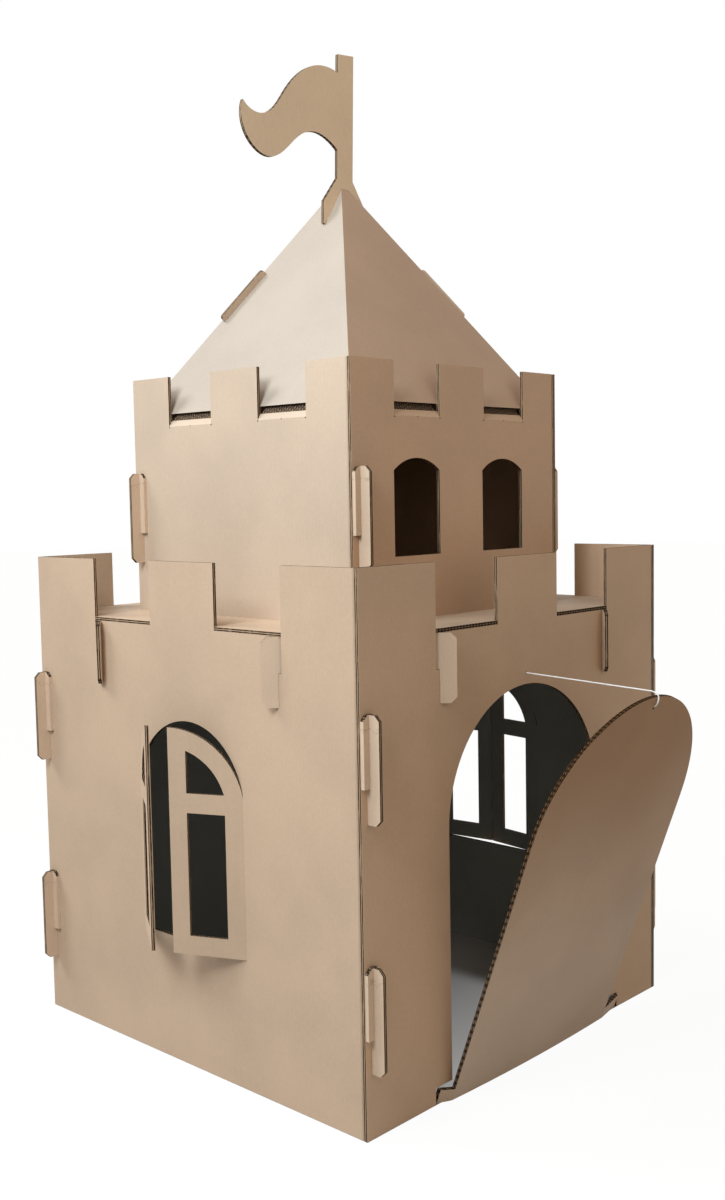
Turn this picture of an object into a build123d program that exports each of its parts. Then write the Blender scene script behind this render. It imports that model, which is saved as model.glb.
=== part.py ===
"""Play castle cut and folded from double-wall corrugated card.

A square lower tower with a drawbridge, a square upper tower standing on its deck, and a
pyramid roof with a flag.  Each tower is four wall sheets.  A sheet's left end is a plain
cut edge, and its right end folds into a flap that lies behind the next sheet's left end,
where card clips hold the two together.

Millimetres, +Z up, the drawbridge side faces -Y.  Everything is drawn about the towers'
common axis, with the floor at Z = 0.  The parts are moved at the end, so that the origin
is at the bottom centre of the whole castle's box.
"""
import os
from math import atan2, cos, degrees, hypot, pi, radians, sin, sqrt, tan

from build123d import *

# ---------------------------------------------------------------- card
CARD = 7.0                  # thickness of the double-wall card
FOLD_RADIUS = 5.0           # outside radius of a folded corner
FIT = 0.3                   # clearance on each side of a piece in its slot
DECK_FIT = 1.0              # clearance round the deck's edge

# ---------------------------------------------------------------- lower tower
LOWER_WIDTH = 858.0         # outside, both ways
LOWER_HEIGHT = 900.0        # floor to the top of the merlons
LOWER_LEFT_MERLON = 183.0
LOWER_MID_MERLON = 175.0
LOWER_RIGHT_MERLON = 171.0
LOWER_CRENEL_FLOOR = 785.0  # height of the floor of each crenel, which the deck rests on
LOWER_FLAP = 120.0          # length of the folded flap behind the next wall

# ---------------------------------------------------------------- upper tower
UPPER_WIDTH = 581.0
UPPER_MERLON_TOP = 1237.0
UPPER_LEFT_MERLON = 107.0
UPPER_MID_MERLON = 126.0
UPPER_RIGHT_MERLON = 105.0
UPPER_FLAP = 84.0

# ---------------------------------------------------------------- door and drawbridge
DOOR_HALF_WIDTH = 219.0
DOOR_SPRING = 454.0         # height where the round head begins
DOOR_NOTCH_HEIGHT = 28.5    # low notch each side of the door, for the drawbridge's ears
DOOR_NOTCH_LEFT = 262.0
DOOR_NOTCH_RIGHT = 289.0
BRIDGE_LEAN = 20.0          # degrees from upright
BRIDGE_CENTRE = -5.0
BRIDGE_HALF_WIDTH = 227.0
BRIDGE_SPRING = 490.0       # along the sheet
BRIDGE_EAR_HEIGHT = 21.0
BRIDGE_EAR_LEFT = 257.0
BRIDGE_EAR_RIGHT = 284.0
BRIDGE_BOW = 15.0           # how far the foot stands out of the wall at its middle
BRIDGE_EDGE_BOW = 9.0       # and beside each ear
BRIDGE_EAR_INSET = 3.0      # how far an ear's tip goes back into the wall

# ---------------------------------------------------------------- string
STRING_DIAMETER = 2.5
STRING_WALL_HEIGHT = 692.5
STRING_HOLE = 5.0
STRING_BRIDGE_DROP = 20.0   # hole in the drawbridge, below its top edge
STRING_STAND_OFF = 4.0      # centre line above the edge that the string goes over
KNOT_DIAMETER = 9.0

# ---------------------------------------------------------------- windows
WINDOW_HALF_WIDTH = 139.5
WINDOW_SILL = 227.0
WINDOW_ARCH_RADIUS = 143.0
WINDOW_ARCH_CENTRE = 479.0
WINDOW_LEFT_WALL_OFFSET = 17.0      # centre from the wall's middle, towards its right end
WINDOW_RIGHT_WALL_OFFSET = -9.0
SHUTTER_RAIL = 34.0
SHUTTER_MID_RAIL = 475.0            # lower edge of the middle rail
SHUTTER_GAP = 1.0                   # half the gap where the two leaves meet
SHUTTER_CUT = 0.8                   # knife cut round a leaf
LEFT_WALL_SHUTTERS = (33.0, 24.0)   # degrees open: the left leaf and the right leaf
RIGHT_WALL_SHUTTERS = (8.0, 8.0)
SLIT_WINDOW_HALF_WIDTH = 61.0
SLIT_WINDOW_SILL = 902.5
SLIT_WINDOW_SPRING = 1050.5
SLIT_WINDOW_RISE = 21.5
SLIT_WINDOW_OFFSETS = (-125.5, 119.0)

# ---------------------------------------------------------------- clips and braces
CLIP_LENGTH = 172.0
CLIP_TONGUE = 115.0         # length of the part that goes through the wall
CLIP_REACH = 27.0           # out of the wall
CLIP_INSIDE = 10.0          # past the flap, inside the tower
CLIP_WING = 12.5
CLIP_FROM_EDGE = 13.0
CLIP_CHAMFER = 9.0
LOWER_CLIP_FEET = (106.0, 503.0)
UPPER_CLIP_FOOT = 885.5
BRACE_TONGUE = 60.0         # height of the part that goes through the wall
BRACE_HOOK = 116.0          # height of each hook outside the wall
BRACE_REACH = 25.0
BRACE_CHAMFER = 10.0
BRACE_HOOK_GAP = 0.5

# ---------------------------------------------------------------- roof and flag
ROOF_APEX = 1609.0
ROOF_SLOPE = 57.3           # degrees from level
ROOF_FLAP = 60.0
ROOF_FLAP_TOP = 1500.0
ROOF_FIT = 0.3              # between the roof's foot and the walls
ROOF_TAB = 86.0             # length of the crenel tabs that are folded in under the roof
ROOF_TAB_TAPER = 22.0
ROOF_CLIP_LENGTH = 122.0
ROOF_CLIP_REACH = 12.0
ROOF_CLIP_FROM_RIDGE = 5.0
ROOF_CLIP_HEIGHT = 1396.0   # height of the clip's middle
ROOF_CLIP_ROUND = 7.0
FLAG_TOP = 1846.0
FLAG_POLE = 42.0
FLAG_POLE_SLANT = 3.0       # rise of the pole's cut top, each side of its middle
FLAG_POLE_FOOT = 1612.0     # where the pole starts to flare
FLAG_FRONT = 10.5           # front face from the tower's axis
FLAG_LEAN = 2.0
FLAG_FOOT_SPREAD = 57.0
FLAG_FOOT_TOP = 1563.0
FLAG_FOOT_BOTTOM = 1521.0

# ---------------------------------------------------------------- derived sizes
LOWER_HALF = LOWER_WIDTH / 2
UPPER_HALF = UPPER_WIDTH / 2
DECK_TOP = LOWER_CRENEL_FLOOR + CARD
ROOF_RISE = tan(radians(ROOF_SLOPE))
ROOF_CARD_UPRIGHT = CARD / cos(radians(ROOF_SLOPE))
ROOF_HALF = UPPER_HALF - CARD - ROOF_FIT
ROOF_FOOT = ROOF_APEX - ROOF_RISE * ROOF_HALF
UPPER_CRENEL_FLOOR = ROOF_APEX - ROOF_CARD_UPRIGHT - ROOF_RISE * UPPER_HALF
FAR = 4000.0                # longer than anything here, for cutting blocks

SIDES = {"front": 0, "right": 90, "back": 180, "left": 270}


def block(x0, x1, y0, y1, z0, z1):
    """A box between two corners."""
    size = Box(x1 - x0, y1 - y0, z1 - z0)
    return Pos((x0 + x1) / 2, (y0 + y1) / 2, (z0 + z1) / 2) * size


def turned(shape, side):
    """The same shape, drawn for the front, on another side of the tower."""
    return Rot(0, 0, SIDES[side]) * shape


def upright(outline, y0, y1):
    """A sheet from y0 to y1 with an outline drawn as (x, z)."""
    face = Plane.XZ * outline
    return Pos(0, y1, 0) * extrude(face, y1 - y0)


def crenel_spans(width, left, mid, right):
    """The two crenels of a wall, as (start, end) in x."""
    gap = (width - left - mid - right) / 2
    first = -width / 2 + left
    second = first + gap + mid
    return ((first, first + gap), (second, second + gap))


def wall_sheet(half, foot, top, flap):
    """A wall with its right end folded in, before any opening is cut."""
    panel = block(-half, half - CARD, -half, -half + CARD, foot, top)
    folded = block(half - 2 * CARD, half - CARD, -half, -half + flap, foot, top)
    sheet = panel + folded
    fold_lines = sheet.edges().filter_by(Axis.Z).filter_by_position(Axis.X, half - CARD, half - CARD)
    fold = fold_lines.sort_by(Axis.Y)[0]
    return fillet(fold, FOLD_RADIUS)


# ---------------------------------------------------------------- clips
def clip_tongue(half, foot, grow):
    """The part of a clip that goes through a wall and the flap behind it."""
    x0 = -half + CLIP_FROM_EDGE - grow
    x1 = -half + CLIP_FROM_EDGE + CARD + grow
    z1 = foot + CLIP_LENGTH + grow
    z0 = foot + CLIP_LENGTH - CLIP_TONGUE - grow
    return block(x0, x1, -half - grow, -half + 2 * CARD + CLIP_INSIDE, z0, z1)


def clip(half, foot):
    """Corner clip: an upright leaf with a wing folded out along each side of its root."""
    z1 = foot + CLIP_LENGTH
    wing_foot = z1 - CLIP_TONGUE
    leaf_x = -half + CLIP_FROM_EDGE
    leaf = block(leaf_x, leaf_x + CARD, -half - CLIP_REACH, -half - FIT, foot, z1)
    outer = leaf.edges().filter_by(Axis.X).group_by(Axis.Y)[0]
    leaf = chamfer(outer, CLIP_CHAMFER)
    wings = block(leaf_x - CLIP_WING, leaf_x + CARD + CLIP_WING, -half - CARD, -half, wing_foot, z1)
    tips = wings.edges().filter_by(Axis.Y).group_by(Axis.Z)[-1]
    wings = chamfer(tips, CLIP_CHAMFER)
    return leaf + wings + clip_tongue(half, foot, 0)


# ---------------------------------------------------------------- deck braces
def brace_line():
    """Where the front left brace crosses the front wall and the left wall, in plan."""
    run_x = LOWER_LEFT_MERLON
    run_y = LOWER_RIGHT_MERLON
    slope = atan2(run_y, run_x)
    slot_front = CARD / sin(slope) + CARD / tan(slope) + 2 * FIT
    slot_side = CARD / cos(slope) + CARD * tan(slope) + 2 * FIT
    ahead = (-LOWER_HALF + run_x + slot_front / 2, -LOWER_HALF + CARD / 2)
    aside = (-LOWER_HALF + CARD / 2, -LOWER_HALF + run_y + slot_side / 2)
    return ahead, aside, slot_front, slot_side


def brace_slots():
    """The slots for the braces, in a wall's left part and in its right part."""
    _, _, slot_front, slot_side = brace_line()
    z0 = LOWER_CRENEL_FLOOR - BRACE_TONGUE - FIT
    z1 = LOWER_CRENEL_FLOOR + FIT
    left_x = -LOWER_HALF + LOWER_LEFT_MERLON
    right_x = LOWER_HALF - LOWER_RIGHT_MERLON
    left = block(left_x, left_x + slot_front, -LOWER_HALF - 1, -LOWER_HALF + CARD + 1, z0, z1)
    right = block(right_x - slot_side, right_x, -LOWER_HALF - 1, -LOWER_HALF + CARD + 1, z0, z1)
    return left + right


def brace():
    """Upright strip across a corner under the deck, hooked out through both walls."""
    ahead, aside, _, _ = brace_line()
    mid = ((ahead[0] + aside[0]) / 2, (ahead[1] + aside[1]) / 2)
    run = (ahead[0] - mid[0], ahead[1] - mid[1])
    span = hypot(*run)
    across = degrees(atan2(run[1], run[0]))
    ahead_tip = span * (-LOWER_HALF - mid[1]) / run[1] + BRACE_REACH
    aside_tip = span * (LOWER_HALF + mid[0]) / run[0] + BRACE_REACH
    top = LOWER_CRENEL_FLOOR
    foot = top - BRACE_HOOK
    points = [
        (-aside_tip, foot + BRACE_CHAMFER),
        (-aside_tip + BRACE_CHAMFER, foot),
        (ahead_tip - BRACE_CHAMFER, foot),
        (ahead_tip, foot + BRACE_CHAMFER),
        (ahead_tip, top - BRACE_CHAMFER),
        (ahead_tip - BRACE_CHAMFER, top),
        (-aside_tip + BRACE_CHAMFER, top),
        (-aside_tip, top - BRACE_CHAMFER),
    ]
    strip = upright(make_face(Polyline(points, close=True)), -CARD / 2, CARD / 2)
    strip = Pos(mid[0], mid[1], 0) * Rot(0, 0, across) * strip
    outside = -LOWER_HALF - BRACE_HOOK_GAP
    return strip - block(outside, FAR, outside, FAR, 0, top - BRACE_TONGUE)


# ---------------------------------------------------------------- lower walls
def lower_wall():
    """A lower wall with crenels and the slots that every side has."""
    sheet = wall_sheet(LOWER_HALF, 0, LOWER_HEIGHT, LOWER_FLAP)
    spans = crenel_spans(LOWER_WIDTH, LOWER_LEFT_MERLON, LOWER_MID_MERLON, LOWER_RIGHT_MERLON)
    for x0, x1 in spans:
        sheet -= block(x0, x1, -LOWER_HALF - 1, -LOWER_HALF + CARD + 1, LOWER_CRENEL_FLOOR, FAR)
    sheet -= brace_slots()
    for foot in LOWER_CLIP_FEET:
        tongue = clip_tongue(LOWER_HALF, foot, FIT)
        sheet -= tongue
        sheet -= turned(tongue, "right")
    return sheet


def arched_opening(half_width, sill, spring, radius):
    """Outline of a round-headed opening, from its sill to its head."""
    head = Pos(0, spring) * Circle(radius)
    legs = Pos(0, (sill + spring) / 2) * Rectangle(2 * half_width, spring - sill)
    return legs + (head & Pos(0, spring + radius / 2) * Rectangle(2 * half_width, radius))


def window_outline():
    """Outline of a shuttered window about its own middle."""
    return arched_opening(WINDOW_HALF_WIDTH, WINDOW_SILL, WINDOW_ARCH_CENTRE, WINDOW_ARCH_RADIUS)


def shutter(opening, hand):
    """One leaf with two panes, turned outwards on its fold.  hand is -1 left, 1 right."""
    sill = WINDOW_SILL + SHUTTER_CUT
    radius = WINDOW_ARCH_RADIUS - SHUTTER_CUT
    leaf = arched_opening(WINDOW_HALF_WIDTH, sill, WINDOW_ARCH_CENTRE, radius)
    side = Pos(hand * (SHUTTER_GAP + FAR / 2), FAR / 2) * Rectangle(FAR, FAR)
    leaf = leaf & side
    inner = SHUTTER_RAIL
    outer = WINDOW_HALF_WIDTH - SHUTTER_RAIL
    pane_centre = hand * (inner + outer) / 2
    low = Rectangle(outer - inner, SHUTTER_MID_RAIL - WINDOW_SILL - SHUTTER_RAIL)
    leaf -= Pos(pane_centre, (WINDOW_SILL + SHUTTER_RAIL + SHUTTER_MID_RAIL) / 2) * low
    high_foot = SHUTTER_MID_RAIL + SHUTTER_RAIL
    ring = Pos(0, WINDOW_ARCH_CENTRE) * Circle(WINDOW_ARCH_RADIUS - SHUTTER_RAIL)
    high = ring & Pos(hand * (inner + FAR / 2), high_foot + FAR / 2) * Rectangle(FAR, FAR)
    leaf -= high
    pivot = Pos(hand * WINDOW_HALF_WIDTH, 0, 0)
    swing = pivot * Rot(0, 0, hand * opening) * pivot.inverse()
    fold_top = WINDOW_ARCH_CENTRE + sqrt(radius ** 2 - WINDOW_HALF_WIDTH ** 2)
    spread = radians(opening)
    fold = make_face(Polyline((0, 0), (0, CARD), (-hand * CARD * sin(spread), CARD * cos(spread)), close=True))
    fold = pivot * Pos(0, 0, sill) * extrude(fold, fold_top - sill, dir=(0, 0, 1))
    return swing * upright(leaf, 0, CARD) + fold


def window_wall(offset, openings):
    """A lower wall with a shuttered window, all one sheet."""
    sheet = lower_wall()
    at = Pos(offset, -LOWER_HALF, 0)
    sheet -= at * upright(window_outline(), -1, CARD + 1)
    for hand, opening in zip((-1, 1), openings):
        sheet += at * shutter(opening, hand)
    return sheet


def front_wall():
    """The lower wall with the door, its notches and the hole for the string."""
    sheet = lower_wall()
    door = arched_opening(DOOR_HALF_WIDTH, -1, DOOR_SPRING, DOOR_HALF_WIDTH)
    sheet -= Pos(0, -LOWER_HALF, 0) * upright(door, -1, CARD + 1)
    y0 = -LOWER_HALF - 1
    y1 = -LOWER_HALF + CARD + 1
    sheet -= block(-DOOR_NOTCH_LEFT, DOOR_NOTCH_RIGHT, y0, y1, -1, DOOR_NOTCH_HEIGHT)
    hole = Pos(0, STRING_WALL_HEIGHT) * Circle(STRING_HOLE / 2)
    sheet -= Pos(0, -LOWER_HALF, 0) * upright(hole, -1, CARD + 1)
    return sheet


# ---------------------------------------------------------------- deck
def deck():
    """The floor of the upper tower: a square that reaches out through the crenels."""
    sheet = block(-LOWER_HALF, LOWER_HALF, -LOWER_HALF, LOWER_HALF, LOWER_CRENEL_FLOOR, DECK_TOP)
    spans = crenel_spans(LOWER_WIDTH, LOWER_LEFT_MERLON, LOWER_MID_MERLON, LOWER_RIGHT_MERLON)
    (a0, a1), (b0, b1) = spans
    merlons = ((-LOWER_HALF - 1, a0), (a1, b0), (b1, LOWER_HALF + 1))
    y0 = -LOWER_HALF - 1
    behind = -LOWER_HALF + CARD + DECK_FIT
    behind_flap = -LOWER_HALF + 2 * CARD + DECK_FIT
    cuts = [block(x0 - DECK_FIT, x1 + DECK_FIT, y0, behind, 0, FAR) for x0, x1 in merlons]
    flap_end = -LOWER_HALF + LOWER_FLAP + DECK_FIT
    cuts.append(block(-LOWER_HALF - 1, flap_end, y0, behind_flap, 0, FAR))
    for side in SIDES:
        for cut in cuts:
            sheet -= turned(cut, side)
    return sheet


# ---------------------------------------------------------------- upper walls
def roof_tab(x0, x1):
    """A crenel's card, folded in to the slope of the roof that rests on it."""
    slope = radians(ROOF_SLOPE)
    middle = (x0 + x1) / 2
    half = (x1 - x0) / 2 - FIT
    plane = Plane(
        origin=(middle, -UPPER_HALF, UPPER_CRENEL_FLOOR),
        x_dir=(1, 0, 0),
        z_dir=(0, -sin(slope), cos(slope)),
    )
    root = -CARD / tan(slope)
    points = [
        (-half, root),
        (half, root),
        (half, CARD / 2),
        (half - ROOF_TAB_TAPER, ROOF_TAB),
        (-half + ROOF_TAB_TAPER, ROOF_TAB),
        (-half, CARD / 2),
    ]
    outline = make_face(Polyline(points, close=True))
    tab = extrude(plane * outline, -CARD)
    return tab & block(-FAR, FAR, -UPPER_HALF, FAR, 0, FAR)


def upper_wall():
    """An upper wall standing on the deck, with its crenel tabs folded in."""
    sheet = wall_sheet(UPPER_HALF, DECK_TOP, UPPER_MERLON_TOP, UPPER_FLAP)
    under_roof = ROOF_FOOT - ROOF_FIT
    sheet -= block(0, FAR, -UPPER_HALF + CARD, 0, under_roof, FAR)
    spans = crenel_spans(UPPER_WIDTH, UPPER_LEFT_MERLON, UPPER_MID_MERLON, UPPER_RIGHT_MERLON)
    y0 = -UPPER_HALF - 1
    y1 = -UPPER_HALF + CARD + 1
    rise = CARD * ROOF_RISE
    for x0, x1 in spans:
        profile = Polyline(
            (-1, UPPER_CRENEL_FLOOR - ROOF_RISE),
            (CARD + 1, UPPER_CRENEL_FLOOR + rise + ROOF_RISE),
            (CARD + 1, UPPER_MERLON_TOP + 1),
            (-1, UPPER_MERLON_TOP + 1),
            close=True,
        )
        face = Plane(origin=(x0, -UPPER_HALF, 0), x_dir=(0, 1, 0), z_dir=(1, 0, 0)) * make_face(profile)
        sheet -= extrude(face, x1 - x0)
        sheet += roof_tab(x0, x1)
    tongue = clip_tongue(UPPER_HALF, UPPER_CLIP_FOOT, FIT)
    sheet -= tongue
    sheet -= turned(tongue, "right")
    return sheet


def upper_front_wall():
    """The upper wall over the door, with two windows under low arches."""
    sheet = upper_wall()
    half = SLIT_WINDOW_HALF_WIDTH
    radius = (half ** 2 + SLIT_WINDOW_RISE ** 2) / (2 * SLIT_WINDOW_RISE)
    head_centre = SLIT_WINDOW_SPRING + SLIT_WINDOW_RISE - radius
    legs_height = SLIT_WINDOW_SPRING - SLIT_WINDOW_SILL
    legs = Pos(0, SLIT_WINDOW_SILL + legs_height / 2) * Rectangle(2 * half, legs_height)
    above = Pos(0, SLIT_WINDOW_SPRING + radius / 2) * Rectangle(2 * half, radius)
    opening = legs + (Pos(0, head_centre) * Circle(radius) & above)
    for offset in SLIT_WINDOW_OFFSETS:
        sheet -= Pos(offset, -UPPER_HALF, 0) * upright(opening, -1, CARD + 1)
    return sheet


# ---------------------------------------------------------------- roof
def roof_side(side, depth):
    """All that lies under one slope of the roof, the slope sunk by depth."""
    drop = depth / cos(radians(ROOF_SLOPE))
    apex = ROOF_APEX - drop
    reach = 2 * ROOF_HALF
    points = [(0, apex), (-reach, apex - reach * ROOF_RISE), (reach, apex - reach * ROOF_RISE), (reach, apex)]
    face = Plane(origin=(-FAR / 2, 0, 0), x_dir=(0, 1, 0), z_dir=(1, 0, 0)) * make_face(Polyline(points, close=True))
    return turned(extrude(face, FAR), side)


def roof_solid(depths):
    """A pyramid whose slopes are sunk by depths, in the order front, right, back, left."""
    body = block(-ROOF_HALF, ROOF_HALF, -ROOF_HALF, ROOF_HALF, ROOF_FOOT, ROOF_APEX)
    for side, depth in zip(SIDES, depths):
        body = body & roof_side(side, depth)
    return body


def roof_sheets():
    """The two roof sheets: left and front faces, then right and back faces."""
    whole = roof_solid((0, 0, 0, 0))
    left_face = whole - roof_side("left", CARD)
    right_face = whole - roof_side("right", CARD)
    front_face = (whole & roof_side("right", CARD)) - roof_side("front", CARD)
    back_face = (whole & roof_side("left", CARD)) - roof_side("back", CARD)
    below = block(-FAR, FAR, -FAR, FAR, 0, ROOF_FLAP_TOP)
    front_flap = (whole & roof_side("right", CARD)) - roof_side("right", 2 * CARD)
    front_flap = (front_flap - roof_side("front", ROOF_FLAP)) & below
    back_flap = (whole & roof_side("left", CARD)) - roof_side("left", 2 * CARD)
    back_flap = (back_flap - roof_side("back", ROOF_FLAP)) & below
    first = left_face + front_face + front_flap
    second = (right_face + back_face + back_flap) - first
    return first, second


def roof_clip_plane(side):
    """A plane on one face of the roof: x up along its left ridge, z out of the face."""
    slope = radians(ROOF_SLOPE)
    out = ROOF_HALF * (ROOF_APEX - ROOF_CLIP_HEIGHT) / (ROOF_APEX - ROOF_FOOT)
    along = Vector(1, 1, ROOF_RISE).normalized()
    normal = Vector(0, -sin(slope), cos(slope))
    inward = normal.cross(along).normalized()
    ridge = Vector(-out, -out, ROOF_CLIP_HEIGHT)
    origin = ridge + inward * -(ROOF_CLIP_FROM_RIDGE + CARD / 2)
    if origin.X < ridge.X:
        origin = ridge + inward * (ROOF_CLIP_FROM_RIDGE + CARD / 2)
    return Rot(0, 0, SIDES[side]) * Plane(origin=origin, x_dir=along, z_dir=normal).location


def roof_clip(side, grow):
    """A rounded leaf through the roof, near the left ridge of one face."""
    depth = 2 * CARD + CLIP_INSIDE
    leaf = Box(ROOF_CLIP_LENGTH + 2 * grow, CARD + 2 * grow, ROOF_CLIP_REACH + depth)
    leaf = Pos(0, 0, (ROOF_CLIP_REACH - depth) / 2) * leaf
    corners = leaf.edges().filter_by(Axis.Y)
    leaf = fillet(corners, ROOF_CLIP_ROUND)
    return roof_clip_plane(side) * leaf


# ---------------------------------------------------------------- flag
def flag(roof):
    """Flag, pole and spread feet in one sheet, notched to sit astride the roof's point."""
    half = FLAG_POLE / 2
    top = FLAG_TOP
    knee = FLAG_POLE_FOOT
    pole = make_face(Polyline(
        (-half, top - FLAG_POLE_SLANT),
        (half, top + FLAG_POLE_SLANT),
        (half, knee),
        (FLAG_FOOT_SPREAD, FLAG_FOOT_TOP),
        (FLAG_FOOT_SPREAD, FLAG_FOOT_BOTTOM),
        (-FLAG_FOOT_SPREAD, FLAG_FOOT_BOTTOM),
        (-FLAG_FOOT_SPREAD, FLAG_FOOT_TOP),
        (-half, knee),
        close=True,
    ))
    upper = Spline(
        (-half, top - 38),
        (-50, top - 34),
        (-81, top - 39),
        (-120, top - 61),
        (-157, top - 101),
        (-190, top - 143),
        (-222, top - 158),
        (-246, top - 154),
        (-261, top - 143),
    )
    lower = Spline(
        (-261, top - 143),
        (-264, top - 174),
        (-250, top - 205),
        (-197, top - 230),
        (-153, top - 205),
        (-115, top - 172),
        (-81, top - 161),
        (-50, top - 166),
        (-half, top - 182),
    )
    closing = Line((-half, top - 182), (-half, top - 38))
    cloth = make_face(upper + lower + closing)
    sheet = upright(pole + cloth, 0, CARD)
    sheet = Pos(0, -FLAG_FRONT, 0) * sheet
    foot = Pos(0, 0, ROOF_APEX)
    sheet = foot * Rot(0, FLAG_LEAN, 0) * foot.inverse() * sheet
    return sheet - roof


# ---------------------------------------------------------------- drawbridge
def bridge_frame():
    """A plane in the drawbridge's face: x across, y up the sheet, z out of the castle."""
    lean = radians(BRIDGE_LEAN)
    origin = (0, -LOWER_HALF - BRIDGE_BOW, 0)
    return Plane(origin=origin, x_dir=(1, 0, 0), z_dir=(0, -cos(lean), -sin(lean)))


def bridge_point(up, out):
    """A point over the drawbridge's middle: up the sheet, and out from its front face."""
    lean = radians(BRIDGE_LEAN)
    y = -LOWER_HALF - BRIDGE_BOW - up * sin(lean) - out * cos(lean)
    z = up * cos(lean) - out * sin(lean)
    return Vector(0, y, z)


def bowed_line(points):
    """Straight ears with an arc between them."""
    middle = ThreePointArc(*points[1:4])
    return Line(*points[:2]) + middle + Line(*points[3:])


def drawbridge():
    """Leaning arch with two ears at its foot, bowed out between them."""
    lean = radians(BRIDGE_LEAN)
    deep = CARD / cos(lean)
    left = BRIDGE_CENTRE - BRIDGE_HALF_WIDTH
    right = BRIDGE_CENTRE + BRIDGE_HALF_WIDTH
    front = [
        (-BRIDGE_EAR_LEFT, BRIDGE_EAR_INSET),
        (left, -BRIDGE_EDGE_BOW),
        (BRIDGE_CENTRE, -BRIDGE_BOW),
        (right, -BRIDGE_EDGE_BOW),
        (BRIDGE_EAR_RIGHT, BRIDGE_EAR_INSET),
    ]
    back = [(x, y + deep) for x, y in reversed(front)]
    face_line = bowed_line(front)
    back_line = bowed_line(back)
    end_a = Line(front[-1], back[0])
    end_b = Line(back[-1], front[0])
    plan = Pos(0, -LOWER_HALF, 0) * make_face(face_line + end_a + back_line + end_b)
    length = BRIDGE_SPRING + BRIDGE_HALF_WIDTH + 2 * CARD
    along = (0, -sin(lean), cos(lean))
    shell = extrude(plan, length, dir=along)
    arch = arched_opening(BRIDGE_HALF_WIDTH, 0, BRIDGE_SPRING, BRIDGE_HALF_WIDTH)
    ears_width = BRIDGE_EAR_LEFT + BRIDGE_EAR_RIGHT
    ears_centre = (BRIDGE_EAR_RIGHT - BRIDGE_EAR_LEFT) / 2
    ears = Pos(ears_centre, BRIDGE_EAR_HEIGHT / 2) * Rectangle(ears_width, BRIDGE_EAR_HEIGHT)
    foot = Pos(ears_centre, -BRIDGE_BOW) * Rectangle(ears_width, 2 * BRIDGE_BOW)
    outline = Pos(BRIDGE_CENTRE, 0) * arch + ears + foot
    hole_up = BRIDGE_SPRING + BRIDGE_HALF_WIDTH - STRING_BRIDGE_DROP
    outline -= Pos(0, hole_up) * Circle(STRING_HOLE / 2)
    cutter = extrude(bridge_frame() * outline, 6 * CARD, both=True)
    above_floor = block(-FAR, FAR, -FAR, FAR, 0, FAR)
    return shell & cutter & above_floor


# ---------------------------------------------------------------- string
def string_route():
    """The string's points: behind the wall, over the drawbridge's edge, back through it."""
    top = BRIDGE_SPRING + BRIDGE_HALF_WIDTH
    hole_up = top - STRING_BRIDGE_DROP
    knot_room = KNOT_DIAMETER / 2
    crest = bridge_point(top + STRING_STAND_OFF + 2, -CARD - STRING_STAND_OFF / 2)
    brow = bridge_point(top + STRING_STAND_OFF, STRING_STAND_OFF)
    turn = bridge_point(hole_up, STRING_STAND_OFF)
    end = bridge_point(hole_up, -CARD - knot_room)
    hole = Vector(0, -LOWER_HALF, STRING_WALL_HEIGHT)
    pull = (hole - crest).normalized()
    start = hole + pull * (CARD + knot_room)
    return [start, crest, brow, turn, end]


def string_and_knots():
    """The taut string and the two knots that stop its ends."""
    points = string_route()
    radii = []
    for before, here, after in zip(points, points[1:], points[2:]):
        turn = (here - before).get_angle(after - here)
        shorter = min((here - before).length, (after - here).length)
        radii.append(0.45 * shorter / tan(radians(turn) / 2))
    print("string radii", [round(r, 1) for r in radii])
    path = FilletPolyline(*points, radius=radii)
    first = path @ 0
    section = Plane(origin=first, z_dir=path % 0) * Circle(STRING_DIAMETER / 2)
    tube = sweep(section, path=path)
    ideal = pi * STRING_DIAMETER ** 2 / 4 * path.length
    print("string length", round(path.length, 1), "volume ratio", round(tube.volume / ideal, 4))
    knots = []
    for centre in (points[0], points[-1]):
        ball = Pos(*centre) * Sphere(KNOT_DIAMETER / 2 - FIT)
        knots.append(ball - tube)
    return tube, knots


# ---------------------------------------------------------------- the castle
def build():
    """Every part by name, about the towers' axis."""
    parts = {
        "lower_front_wall": front_wall(),
        "lower_right_wall": turned(window_wall(WINDOW_RIGHT_WALL_OFFSET, RIGHT_WALL_SHUTTERS), "right"),
        "lower_back_wall": turned(lower_wall(), "back"),
        "lower_left_wall": turned(window_wall(WINDOW_LEFT_WALL_OFFSET, LEFT_WALL_SHUTTERS), "left"),
        "deck": deck(),
        "upper_front_wall": upper_front_wall(),
        "drawbridge": drawbridge(),
    }
    plain = upper_wall()
    corner_brace = brace()
    for side in ("right", "back", "left"):
        parts[f"upper_{side}_wall"] = turned(plain, side)
    for side in SIDES:
        parts[f"brace_{side}"] = turned(corner_brace, side)
        for place, foot in zip(("low", "high"), LOWER_CLIP_FEET):
            parts[f"clip_lower_{side}_{place}"] = turned(clip(LOWER_HALF, foot), side)
        parts[f"clip_upper_{side}"] = turned(clip(UPPER_HALF, UPPER_CLIP_FOOT), side)
    first, second = roof_sheets()
    for side in ("left", "right"):
        slot = roof_clip(side, FIT)
        first -= slot
        second -= slot
        parts[f"roof_clip_{side}"] = roof_clip(side, 0)
    parts["roof_left_front"] = first
    parts["roof_right_back"] = second
    parts["flag"] = flag(roof_solid((-FIT, -FIT, -FIT, -FIT)))
    tube, knots = string_and_knots()
    parts["string"] = tube
    parts["string_knots"] = Compound(children=knots)
    return parts


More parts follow.
